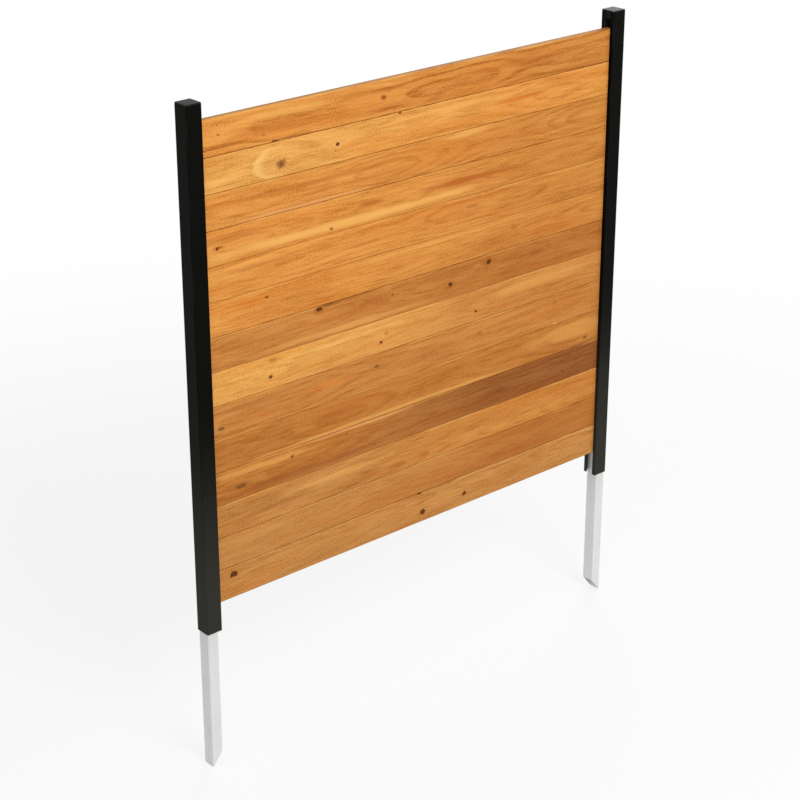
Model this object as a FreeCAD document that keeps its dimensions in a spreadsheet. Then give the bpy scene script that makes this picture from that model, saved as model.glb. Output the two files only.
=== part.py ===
import FreeCAD, Part
import math
import os
import Sketcher

# A no-dig garden privacy screen. Fourteen tongue-and-groove boards lie on edge in the slots of
# two lipped steel posts. A rectangular stake telescopes out of the foot of each post and is
# driven into the soil, and a moulded cap closes the top of each post.
#
# X runs along the screen from left to right, Y from front to back and Z up. The origin is on
# the ground line, halfway between the posts and halfway through their depth. In names and
# signs, the left side is -1 and the right side is +1.

LEFT = -1
RIGHT = 1
SIDE_NAMES = {LEFT: "left", RIGHT: "right"}

# Driving dimensions in millimetres, but for the number of boards.
DRIVING_SIZES = {
    # Whole screen
    "overall_width": 1219.2,
    "foot_gap": 60.3,
    "head_gap": 41.3,
    # Posts: roll-formed square section with a slot in the inner face
    "post_width": 38.1,
    "post_wall": 1.5,
    "post_bend_radius": 2.0,
    # Boards
    "board_count": 14,
    "board_face": 76.2,
    "board_thickness": 17.5,
    "board_entry": 8.5,
    "board_side_gap": 0.8,
    "tongue_thickness": 5.5,
    "tongue_height": 6.0,
    "tongue_side_gap": 0.2,
    "groove_spare_depth": 0.6,
    "vee_depth": 1.2,
    # Stakes: rectangular tube with a slanted lower end
    "stake_length": 762.0,
    "stake_reach": 336.0,
    "stake_wall": 1.6,
    "stake_bend_radius": 2.5,
    "stake_cut_height": 34.0,
    "stake_outer_gap": 0.4,
    "stake_side_gap": 1.3,
    "stake_board_gap": 0.7,
    # Caps: a plate with a hollow plug and crush ribs
    "cap_plate": 3.0,
    "cap_inset": 0.2,
    "cap_edge_round": 1.0,
    "plug_depth": 18.0,
    "plug_wall": 2.0,
    "plug_gap": 0.4,
    "plug_corner_radius": 1.6,
    "plug_lead_in": 0.8,
    "rib_width": 2.0,
    "rib_gap": 0.05,
    "rib_offset": 12.5,
    # Screws through the rear of each post into the lowest and the highest board
    "board_screw_inset": 4.8,
    "board_screw_diameter": 3.5,
    "board_screw_head": 6.0,
    "board_screw_head_height": 2.2,
    "board_screw_length": 18.5,
    "board_screw_recess": 2.8,
    "board_screw_recess_width": 0.8,
    "board_screw_recess_depth": 1.2,
    "board_screw_hole_gap": 0.3,
    # Screws that clamp each stake in its post
    "lock_screw_height": 45.0,
    "lock_screw_spacing": 110.0,
    "lock_screw_diameter": 5.0,
    "lock_screw_head": 9.0,
    "lock_screw_head_height": 3.0,
    "lock_screw_standoff": 3.0,
    "lock_screw_tip_gap": 0.3,
    "lock_screw_socket": 3.0,
    "lock_screw_socket_depth": 1.8,
    "thread_gap": 0.05,
}

doc = FreeCAD.newDocument("garden_privacy_screen")


class Size:
    """A length that carries both its value and the sheet expression that gives it."""

    def __init__(self, text, value):
        self.text = text
        self.value = value

    def combined(self, other, sign, value):
        return Size("(%s %s %s)" % (self.text, sign, expression_text(other)), value)

    def __add__(self, other):
        return self.combined(other, "+", self.value + number(other))

    def __sub__(self, other):
        return self.combined(other, "-", self.value - number(other))

    def __mul__(self, other):
        return self.combined(other, "*", self.value * number(other))

    def __truediv__(self, other):
        return self.combined(other, "/", self.value / number(other))

    def __neg__(self):
        return self * -1


def number(size):
    return size.value if isinstance(size, Size) else float(size)


def expression_text(size):
    return size.text if isinstance(size, Size) else "(%r)" % float(size)


def make_sheet():
    """Puts every driving dimension in the sheet and returns them by name."""
    sheet = doc.addObject("Spreadsheet::Sheet", "Sizes")
    for row, (name, value) in enumerate(DRIVING_SIZES.items(), start=1):
        sheet.set("A%d" % row, name)
        sheet.set("B%d" % row, str(value))
        sheet.setAlias("B%d" % row, name)
    doc.recompute()
    return {name: Size("Sizes." + name, float(sheet.get(name))) for name in DRIVING_SIZES}


size = make_sheet()
ZERO = size["post_width"] * 0

# Sizes that follow from the driving ones
POST_HALF = size["post_width"] / 2
POST_CAVITY_HALF = POST_HALF - size["post_wall"]
POST_CENTRE = (size["overall_width"] - size["post_width"]) / 2
POST_INNER_FACE = size["overall_width"] / 2 - size["post_width"]
SLOT_HALF = size["board_thickness"] / 2 + size["board_side_gap"]
PANEL_HEIGHT = size["board_face"] * size["board_count"]
POST_TOP = size["foot_gap"] + PANEL_HEIGHT + size["head_gap"] - size["cap_plate"]
BOARD_LENGTH = (POST_INNER_FACE + size["board_entry"]) * 2
STAKE_WIDTH = (
    size["post_width"]
    - size["post_wall"]
    - size["stake_outer_gap"]
    - size["stake_board_gap"]
    - size["board_entry"]
)
STAKE_DEPTH = (POST_CAVITY_HALF - size["stake_side_gap"]) * 2
STAKE_CENTRE = (
    size["overall_width"] / 2 - size["post_wall"] - size["stake_outer_gap"] - STAKE_WIDTH / 2
)
BOARD_SCREW_PLACE = POST_INNER_FACE + size["board_screw_inset"]
LOW_BOARD_SCREW = size["foot_gap"] + size["board_face"] / 2
BOARD_SCREW_SPACING = PANEL_HEIGHT - size["board_face"]


# ---------------------------------------------------------------- sketches and features


def make_body(name):
    body = doc.addObject("PartDesign::Body", name)
    body.Label = name
    return body


def place_body(body, x=ZERO, y=ZERO, z=ZERO):
    """Binds the body's position to the sheet."""
    for axis, position in (("x", x), ("y", y), ("z", z)):
        body.setExpression("Placement.Base." + axis, position.text)


def origin_feature(body, role):
    return next(item for item in body.Origin.OriginFeatures if item.Role == role)


def make_sketch(body, name, plane, offset=None):
    """An empty sketch on one of the body's origin planes, lifted by offset if one is given."""
    sketch = body.newObject("Sketcher::SketchObject", name)
    sketch.AttachmentSupport = [(origin_feature(body, plane), "")]
    sketch.MapMode = "FlatFace"
    if offset is not None:
        sketch.setExpression("AttachmentOffset.Base.z", offset.text)
    return sketch


def pin_coordinate(sketch, kind, element, point, coordinate):
    """Holds one coordinate of a sketch point at its distance from the sketch's origin."""
    value = number(coordinate)
    if abs(value) < 1e-9:
        axis = -2 if kind == "DistanceX" else -1
        sketch.addConstraint(Sketcher.Constraint("PointOnObject", element, point, axis))
        return
    if value > 0:
        ends = (-1, 1, element, point)
        text = coordinate.text
    else:
        ends = (element, point, -1, 1)
        text = (-coordinate).text
    index = sketch.addConstraint(Sketcher.Constraint(kind, *ends, abs(value)))
    sketch.setExpression("Constraints[%d]" % index, text)


def add_outline(sketch, corners):
    """A closed outline through corners, each a pair of sizes, with every corner pinned."""
    points = [FreeCAD.Vector(number(x), number(y), 0) for x, y in corners]
    first = sketch.GeometryCount
    count = len(points)
    for index in range(count):
        sketch.addGeometry(Part.LineSegment(points[index], points[(index + 1) % count]), False)
    for index in range(count):
        line = first + index
        following = first + (index + 1) % count
        sketch.addConstraint(Sketcher.Constraint("Coincident", line, 2, following, 1))
    for index, (x, y) in enumerate(corners):
        pin_coordinate(sketch, "DistanceX", first + index, 1, x)
        pin_coordinate(sketch, "DistanceY", first + index, 1, y)


def add_circle(sketch, x, y, radius):
    """A circle with its centre pinned and its radius bound to the sheet."""
    centre = FreeCAD.Vector(number(x), number(y), 0)
    circle = Part.Circle(centre, FreeCAD.Vector(0, 0, 1), number(radius))
    element = sketch.addGeometry(circle, False)
    pin_coordinate(sketch, "DistanceX", element, 3, x)
    pin_coordinate(sketch, "DistanceY", element, 3, y)
    index = sketch.addConstraint(Sketcher.Constraint("Radius", element, number(radius)))
    sketch.setExpression("Constraints[%d]" % index, radius.text)


def rectangle(left, right, low, high):
    return [(left, low), (right, low), (right, high), (left, high)]


def centred_rectangle(half_width, half_depth):
    return rectangle(-half_width, half_width, -half_depth, half_depth)


def pad(body, sketch, length, midplane=False, reverse=False):
    """Grows the body by the sketch, and checks that it did grow."""
    volume = body.Shape.Volume if body.Tip else 0.0
    feature = body.newObject("PartDesign::Pad", sketch.Name + "_pad")
    feature.Profile = sketch
    feature.setExpression("Length", length.text)
    feature.Midplane = midplane
    feature.Reversed = reverse
    sketch.Visibility = False
    doc.recompute()
    if body.Shape.Volume <= volume:
        raise RuntimeError(feature.Name + " adds nothing")
    return feature


def pocket(body, sketch, length=None, midplane=False, reverse=False):
    """Cuts the sketch out of the body, all the way through if no length is given."""
    volume = body.Shape.Volume
    feature = body.newObject("PartDesign::Pocket", sketch.Name + "_pocket")
    feature.Profile = sketch
    if length is None:
        feature.Type = "ThroughAll"
    else:
        feature.setExpression("Length", length.text)
    feature.Midplane = midplane
    feature.Reversed = reverse
    sketch.Visibility = False
    doc.recompute()
    if body.Shape.Volume >= volume:
        raise RuntimeError(feature.Name + " cuts nothing")
    return feature


def upright_edges(body, half_width, half_depth):
    """Names of the body's vertical edges that stand on the corners of a centred rectangle."""
    names = []
    for index, edge in enumerate(body.Tip.Shape.Edges, start=1):
        box = edge.BoundBox
        is_upright = box.ZLength > 10 * max(box.XLength, box.YLength, 1e-6)
        at_corner = (
            abs(abs(box.Center.x) - number(half_width)) < 1e-4
            and abs(abs(box.Center.y) - number(half_depth)) < 1e-4
        )
        if is_upright and at_corner:
            names.append("Edge%d" % index)
    return names


def level_edges(body, height):
    """Names of the body's edges that lie in the horizontal plane at height."""
    return [
        "Edge%d" % index
        for index, edge in enumerate(body.Tip.Shape.Edges, start=1)
        if max(abs(edge.BoundBox.ZMin - height), abs(edge.BoundBox.ZMax - height)) < 1e-4
    ]


def dress_edges(body, kind, name, edges, amount):
    """Adds a Fillet or a Chamfer of the given amount to the named edges."""
    if not edges:
        raise RuntimeError(name + " finds no edges")
    base = body.Tip
    feature = body.newObject("PartDesign::" + kind, name)
    feature.Base = (base, edges)
    feature.setExpression("Radius" if kind == "Fillet" else "Size", amount.text)
    doc.recompute()
    return feature


# ---------------------------------------------------------------- posts


def make_post(side):
    """A lipped square section, open to the boards, with its screw holes in the rear wall."""
    inward = -side
    body = make_body(SIDE_NAMES[side] + "_post")
    outer = POST_HALF
    inner = POST_CAVITY_HALF
    section = make_sketch(body, body.Name + "_section", "XY_Plane")
    add_outline(
        section,
        [
            (outer * inward, SLOT_HALF),
            (outer * inward, outer),
            (outer * side, outer),
            (outer * side, -outer),
            (outer * inward, -outer),
            (outer * inward, -SLOT_HALF),
            (inner * inward, -SLOT_HALF),
            (inner * inward, -inner),
            (inner * side, -inner),
            (inner * side, inner),
            (inner * inward, inner),
            (inner * inward, SLOT_HALF),
        ],
    )
    pad(body, section, POST_TOP)
    dress_edges(
        body,
        "Fillet",
        body.Name + "_outer_bends",
        upright_edges(body, outer, outer),
        size["post_bend_radius"],
    )
    dress_edges(
        body,
        "Fillet",
        body.Name + "_inner_bends",
        upright_edges(body, inner, inner),
        size["post_bend_radius"] - size["post_wall"],
    )
    drill_post(body, side)
    place_body(body, x=POST_CENTRE * side)
    return body


def drill_post(body, side):
    """Clearance holes for the board screws and threaded holes for the lock screws."""
    board_hole_radius = (size["board_screw_diameter"] + size["board_screw_hole_gap"]) / 2
    lock_hole_radius = size["lock_screw_diameter"] / 2 + size["thread_gap"]
    holes = make_sketch(body, body.Name + "_rear_holes", "XZ_Plane")
    across = (BOARD_SCREW_PLACE - POST_CENTRE) * side
    for height in (LOW_BOARD_SCREW, LOW_BOARD_SCREW + BOARD_SCREW_SPACING):
        add_circle(holes, across, height, board_hole_radius)
    across = (STAKE_CENTRE - POST_CENTRE) * side
    for height in (
        size["lock_screw_height"],
        size["lock_screw_height"] + size["lock_screw_spacing"],
    ):
        add_circle(holes, across, height, lock_hole_radius)
    pocket(body, holes)


# ---------------------------------------------------------------- boards


def board_outline(has_groove, has_tongue):
    """Half-symmetrical section of a board, from its lower edge to its upper edge."""
    half = size["board_thickness"] / 2
    vee = size["vee_depth"]
    face = size["board_face"]
    tongue_half = size["tongue_thickness"] / 2
    groove_half = tongue_half + size["tongue_side_gap"]
    groove_depth = size["tongue_height"] + size["groove_spare_depth"]
    back = [(half - vee, ZERO), (half, vee), (half, face - vee), (half - vee, face)]
    if has_groove:
        back = [(groove_half, groove_depth), (groove_half, ZERO)] + back
    if has_tongue:
        back = back + [(tongue_half, face), (tongue_half, face + size["tongue_height"])]
    front = [(-across, up) for across, up in reversed(back)]
    return back + front


def make_board(index, count):
    """One board; the lowest has no groove below and the highest no tongue above."""
    is_lowest = index == 0
    is_highest = index == count - 1
    body = make_body("board_%02d" % (index + 1))
    section = make_sketch(body, body.Name + "_section", "YZ_Plane")
    add_outline(section, board_outline(not is_lowest, not is_highest))
    pad(body, section, BOARD_LENGTH, midplane=True)
    if is_lowest or is_highest:
        drill_board(body)
    place_body(body, z=size["foot_gap"] + size["board_face"] * index)
    return body


def drill_board(body):
    """A pilot hole near each end, from the back face to the middle of the board."""
    holes = make_sketch(body, body.Name + "_pilot_holes", "XZ_Plane")
    radius = size["board_screw_diameter"] / 2 + size["thread_gap"]
    for side in (LEFT, RIGHT):
        add_circle(holes, BOARD_SCREW_PLACE * side, size["board_face"] / 2, radius)
    pocket(body, holes)


# ---------------------------------------------------------------- stakes


def make_stake(side):
    """A rectangular tube whose lower end is cut to a point on the outer side."""
    body = make_body(SIDE_NAMES[side] + "_stake")
    half_width = STAKE_WIDTH / 2
    half_depth = STAKE_DEPTH / 2
    bore_half_width = half_width - size["stake_wall"]
    bore_half_depth = half_depth - size["stake_wall"]

    outside = make_sketch(body, body.Name + "_outside", "XY_Plane")
    add_outline(outside, centred_rectangle(half_width, half_depth))
    pad(body, outside, size["stake_length"])
    dress_edges(
        body,
        "Fillet",
        body.Name + "_outer_bends",
        upright_edges(body, half_width, half_depth),
        size["stake_bend_radius"],
    )
    inside = make_sketch(body, body.Name + "_inside", "XY_Plane")
    add_outline(inside, centred_rectangle(bore_half_width, bore_half_depth))
    pocket(body, inside, reverse=True)
    dress_edges(
        body,
        "Fillet",
        body.Name + "_inner_bends",
        upright_edges(body, bore_half_width, bore_half_depth),
        size["stake_bend_radius"] - size["stake_wall"],
    )
    point = make_sketch(body, body.Name + "_point", "XZ_Plane")
    add_outline(
        point,
        [
            (half_width * side, ZERO),
            (half_width * -side, size["stake_cut_height"]),
            (half_width * -side, ZERO),
        ],
    )
    pocket(body, point, midplane=True)
    place_body(body, x=STAKE_CENTRE * side, z=-size["stake_reach"])
    return body


# ---------------------------------------------------------------- caps


def make_cap(side):
    """A plate that closes the post, with a hollow ribbed plug that holds it in the cavity."""
    body = make_body(SIDE_NAMES[side] + "_cap")
    plate_half = POST_HALF - size["cap_inset"]
    plug_half = POST_CAVITY_HALF - size["plug_gap"]
    hollow_half = plug_half - size["plug_wall"]

    plate = make_sketch(body, body.Name + "_plate", "XY_Plane")
    add_outline(plate, centred_rectangle(plate_half, plate_half))
    pad(body, plate, size["cap_plate"])
    dress_edges(
        body,
        "Fillet",
        body.Name + "_plate_corners",
        upright_edges(body, plate_half, plate_half),
        size["post_bend_radius"],
    )
    dress_edges(
        body,
        "Fillet",
        body.Name + "_plate_edge",
        level_edges(body, number(size["cap_plate"])),
        size["cap_edge_round"],
    )
    plug = make_sketch(body, body.Name + "_plug", "XY_Plane")
    add_outline(plug, centred_rectangle(plug_half, plug_half))
    pad(body, plug, size["plug_depth"], reverse=True)
    dress_edges(
        body,
        "Fillet",
        body.Name + "_plug_corners",
        upright_edges(body, plug_half, plug_half),
        size["plug_corner_radius"],
    )
    dress_edges(
        body,
        "Chamfer",
        body.Name + "_lead_in",
        level_edges(body, -number(size["plug_depth"])),
        size["plug_lead_in"],
    )
    hollow = make_sketch(body, body.Name + "_hollow", "XY_Plane")
    add_outline(hollow, centred_rectangle(hollow_half, hollow_half))
    pocket(body, hollow, size["plug_depth"])
    add_crush_ribs(body, plug_half)
    place_body(body, x=POST_CENTRE * side, z=POST_TOP)
    return body


def add_crush_ribs(body, plug_half):
    """Two upright ribs on each side of the plug, which bear on the walls and lips of the post."""
    rib_face = POST_CAVITY_HALF - size["rib_gap"]
    rib_length = size["plug_depth"] - size["plug_lead_in"] * 2
    ribs = make_sketch(body, body.Name + "_rib_pair", "XY_Plane")
    for place in (size["rib_offset"], -size["rib_offset"]):
        low = place - size["rib_width"] / 2
        high = place + size["rib_width"] / 2
        add_outline(ribs, rectangle(plug_half, rib_face, low, high))
    rib_pair = pad(body, ribs, rib_length, reverse=True)
    ring = body.newObject("PartDesign::PolarPattern", body.Name + "_ribs")
    ring.Originals = [rib_pair]
    ring.Axis = (origin_feature(body, "Z_Axis"), [""])
    ring.Angle = 360
    ring.Occurrences = 4
    body.Tip = ring
    doc.recompute()


# ---------------------------------------------------------------- screws


def turn_screw(body, diameter, length, head, head_height, tip_length):
    """A screw turned about Z, with the underside of its head at the origin."""
    radius = diameter / 2
    profile = make_sketch(body, body.Name + "_profile", "XZ_Plane")
    add_outline(
        profile,
        [
            (ZERO, -length),
            (radius / 2, -length),
            (radius, -length + tip_length),
            (radius, ZERO),
            (head / 2, ZERO),
            (head / 2, head_height),
            (ZERO, head_height),
        ],
    )
    turning = body.newObject("PartDesign::Revolution", body.Name + "_turning")
    turning.Profile = profile
    turning.ReferenceAxis = (profile, ["V_Axis"])
    turning.Angle = 360
    doc.recompute()
    rim = [
        "Edge%d" % index
        for index, edge in enumerate(body.Tip.Shape.Edges, start=1)
        if abs(edge.BoundBox.ZMin - number(head_height)) < 1e-4
        and edge.BoundBox.XLength > number(head) * 0.9
    ]
    dress_edges(body, "Chamfer", body.Name + "_bevelled_head", rim, head_height * 0.4)


def repeat_upwards(body, spacing):
    """Repeats the whole screw once, a spacing higher up the post."""
    base = body.Tip
    pair = body.newObject("PartDesign::LinearPattern", body.Name + "_pair")
    pair.TransformMode = "Whole shape"
    pair.Direction = (origin_feature(body, "Y_Axis"), [""])
    pair.Reversed = True
    pair.setExpression("Length", spacing.text)
    pair.Occurrences = 2
    pair.BaseFeature = base
    body.Tip = pair
    doc.recompute()


def point_at_front(body):
    """Turns a screw so that its head faces the rear and its shank the front."""
    body.Placement.Rotation = FreeCAD.Rotation(FreeCAD.Vector(1, 0, 0), -90)


def make_board_screws(side):
    """The two cross-head screws that hold the lowest and the highest board in the post."""
    body = make_body(SIDE_NAMES[side] + "_board_screws")
    diameter = size["board_screw_diameter"]
    turn_screw(
        body,
        diameter,
        size["board_screw_length"],
        size["board_screw_head"],
        size["board_screw_head_height"],
        diameter,
    )
    arm = size["board_screw_recess"] / 2
    web = size["board_screw_recess_width"] / 2
    recess = make_sketch(
        body, body.Name + "_recess", "XY_Plane", offset=size["board_screw_head_height"]
    )
    add_outline(
        recess,
        [
            (arm, web),
            (web, web),
            (web, arm),
            (-web, arm),
            (-web, web),
            (-arm, web),
            (-arm, -web),
            (-web, -web),
            (-web, -arm),
            (web, -arm),
            (web, -web),
            (arm, -web),
        ],
    )
    pocket(body, recess, size["board_screw_recess_depth"])
    repeat_upwards(body, BOARD_SCREW_SPACING)
    point_at_front(body)
    place_body(body, x=BOARD_SCREW_PLACE * side, y=POST_HALF, z=LOW_BOARD_SCREW)
    return body


def make_lock_screws(side):
    """The two socket screws through the rear of the post whose points clamp the stake."""
    body = make_body(SIDE_NAMES[side] + "_lock_screws")
    reach = (
        size["lock_screw_standoff"]
        + size["post_wall"]
        + size["stake_side_gap"]
        - size["lock_screw_tip_gap"]
    )
    turn_screw(
        body,
        size["lock_screw_diameter"],
        reach,
        size["lock_screw_head"],
        size["lock_screw_head_height"],
        size["lock_screw_diameter"] / 8,
    )
    corner_radius = size["lock_screw_socket"] / math.sqrt(3)
    socket = make_sketch(
        body, body.Name + "_socket", "XY_Plane", offset=size["lock_screw_head_height"]
    )
    add_outline(
        socket,
        [
            (
                corner_radius * math.cos(math.radians(60 * corner + 30)),
                corner_radius * math.sin(math.radians(60 * corner + 30)),
            )
            for corner in range(6)
        ],
    )
    pocket(body, socket, size["lock_screw_socket_depth"])
    repeat_upwards(body, size["lock_screw_spacing"])
    point_at_front(body)
    place_body(
        body,
        x=STAKE_CENTRE * side,
        y=POST_HALF + size["lock_screw_standoff"],
        z=size["lock_screw_height"],
    )
    return body


# ---------------------------------------------------------------- the whole screen


def build_screen():
    """Every piece of the screen, in the order in which it is put together."""
    pieces = []
    for side in (LEFT, RIGHT):
        pieces.append(make_stake(side))
        pieces.append(make_post(side))
        pieces.append(make_lock_screws(side))
    count = int(round(number(size["board_count"])))
    pieces += [make_board(index, count) for index in range(count)]
    for side in (LEFT, RIGHT):
        pieces.append(make_board_screws(side))
        pieces.append(make_cap(side))
    return pieces


def check_document():
    """Stops if any object of the document failed to compute."""
    doc.recompute()
    for item in doc.Objects:
        if "Invalid" in item.State or "Error" in item.State:
            raise RuntimeError("%s is not sound: %s" % (item.Name, item.State))


def write_pieces(pieces):
    """Writes each piece to its own file, once its shape is known to be sound."""
    os.makedirs("parts", exist_ok=True)
    for piece in pieces:
        shape = piece.Shape
        if shape.isNull() or not shape.isValid() or not shape.Solids:
            raise RuntimeError(piece.Label + " has no valid solid")
        shape.exportStep(os.path.join("parts", piece.Label + ".step"))


screen_pieces = build_screen()
check_document()
write_pieces(screen_pieces)
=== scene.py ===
"""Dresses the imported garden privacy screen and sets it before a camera.

Fourteen stained tongue-and-groove boards lie between two black steel posts. Each post has a
moulded cap, a zinc-coated stake in its foot and black screws in its rear wall. Lengths are in
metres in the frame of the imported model: X runs along the screen, Y from front to back and Z
up, and the origin is on the ground line, midway between the posts.
"""

from __future__ import annotations

import logging
import math
from collections.abc import Iterable, Mapping, Sequence
from dataclasses import dataclass, field
from enum import Enum

import bmesh
import bpy
from mathutils import Matrix, Vector, noise

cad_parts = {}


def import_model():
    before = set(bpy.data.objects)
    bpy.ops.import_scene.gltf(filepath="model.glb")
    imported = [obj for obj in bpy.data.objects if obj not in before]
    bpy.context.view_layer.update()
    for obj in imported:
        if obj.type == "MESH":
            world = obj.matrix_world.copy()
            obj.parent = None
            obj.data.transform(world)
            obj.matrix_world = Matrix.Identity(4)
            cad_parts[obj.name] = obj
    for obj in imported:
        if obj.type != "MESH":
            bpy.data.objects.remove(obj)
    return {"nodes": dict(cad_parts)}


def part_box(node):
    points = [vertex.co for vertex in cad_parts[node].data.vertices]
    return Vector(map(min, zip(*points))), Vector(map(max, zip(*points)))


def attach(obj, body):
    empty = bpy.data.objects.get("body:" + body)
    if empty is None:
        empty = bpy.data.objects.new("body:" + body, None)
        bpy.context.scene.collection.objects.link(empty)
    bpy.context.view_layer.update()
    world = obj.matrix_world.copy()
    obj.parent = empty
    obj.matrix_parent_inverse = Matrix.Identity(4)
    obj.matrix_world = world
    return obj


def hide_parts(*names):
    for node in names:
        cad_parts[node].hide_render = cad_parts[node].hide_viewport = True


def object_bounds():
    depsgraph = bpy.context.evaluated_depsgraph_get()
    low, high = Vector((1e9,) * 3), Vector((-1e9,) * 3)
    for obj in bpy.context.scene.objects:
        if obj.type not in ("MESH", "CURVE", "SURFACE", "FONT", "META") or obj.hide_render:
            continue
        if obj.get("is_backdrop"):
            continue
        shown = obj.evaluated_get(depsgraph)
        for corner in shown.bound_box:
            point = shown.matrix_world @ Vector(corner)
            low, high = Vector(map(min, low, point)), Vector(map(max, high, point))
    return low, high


LOG = logging.getLogger("privacy_screen")

Colour = tuple[float, float, float, float]


def paint(red: int, green: int, blue: int) -> Colour:
    """Turns a colour as it is seen on a screen into the linear colour a shader takes.

    Args:
        red: Red, from 0 to 255.
        green: Green, from 0 to 255.
        blue: Blue, from 0 to 255.

    Returns:
        The linear colour, with an alpha of 1.
    """

    def linear(value: int) -> float:
        """Undoes the screen's curve for one channel."""
        share = value / 255
        return share / 12.92 if share <= 0.04045 else ((share + 0.055) / 1.055) ** 2.4

    return linear(red), linear(green), linear(blue), 1.0


def tinted(colour: Colour, red: float, green: float, blue: float) -> Colour:
    """Multiplies a linear colour by a factor for each channel.

    Args:
        colour: The colour to start from.
        red: The factor for red.
        green: The factor for green.
        blue: The factor for blue.

    Returns:
        The new colour, with no channel over 1.
    """
    return (
        min(colour[0] * red, 1.0),
        min(colour[1] * green, 1.0),
        min(colour[2] * blue, 1.0),
        1.0,
    )


# ---------------------------------------------------------------- shader nodes


class Wire:
    """A number that flows through a shader, with Python's operators for its maths."""

    def __init__(self, sheet: NodeSheet, socket: bpy.types.NodeSocket) -> None:
        """Wraps a socket.

        Args:
            sheet: The node sheet that the socket belongs to.
            socket: The output socket that carries the number.
        """
        self.sheet = sheet
        self.socket = socket

    def _maths(self, operation: str, first: Value, second: Value) -> Wire:
        """Adds a Math node.

        Args:
            operation: The node's operation.
            first: Its first number.
            second: Its second number.

        Returns:
            The result.
        """
        made = self.sheet.make("ShaderNodeMath", {"operation": operation}, {0: first, 1: second})
        return made[0]

    def __add__(self, other: Value) -> Wire:
        """Adds."""
        return self._maths("ADD", self, other)

    def __radd__(self, other: Value) -> Wire:
        """Adds, with the number first."""
        return self._maths("ADD", other, self)

    def __sub__(self, other: Value) -> Wire:
        """Subtracts."""
        return self._maths("SUBTRACT", self, other)

    def __rsub__(self, other: Value) -> Wire:
        """Subtracts from a number."""
        return self._maths("SUBTRACT", other, self)

    def __mul__(self, other: Value) -> Wire:
        """Multiplies."""
        return self._maths("MULTIPLY", self, other)

    def __rmul__(self, other: Value) -> Wire:
        """Multiplies, with the number first."""
        return self._maths("MULTIPLY", other, self)

    def __truediv__(self, other: Value) -> Wire:
        """Divides."""
        return self._maths("DIVIDE", self, other)

    def __abs__(self) -> Wire:
        """Drops the sign."""
        return self._maths("ABSOLUTE", self, 0.0)

    def root(self) -> Wire:
        """Takes the square root."""
        return self._maths("SQRT", self, 0.0)

    def fraction(self) -> Wire:
        """Keeps what stands after the point, which repeats from 0 to 1."""
        return self._maths("FRACT", self, 0.0)

    def larger(self, other: Value) -> Wire:
        """Takes the larger of two numbers."""
        return self._maths("MAXIMUM", self, other)


Value = Wire | float


class Made:
    """A node that has just been made, whose outputs are read by name or number."""

    def __init__(self, sheet: NodeSheet, node: bpy.types.Node) -> None:
        """Keeps the node.

        Args:
            sheet: The node sheet that the node is on.
            node: The node.
        """
        self.sheet = sheet
        self.node = node

    def __getitem__(self, key: int | str) -> Wire:
        """Reads the output that has this name or number."""
        return Wire(self.sheet, NodeSheet.find(self.node.outputs, key))


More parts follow.
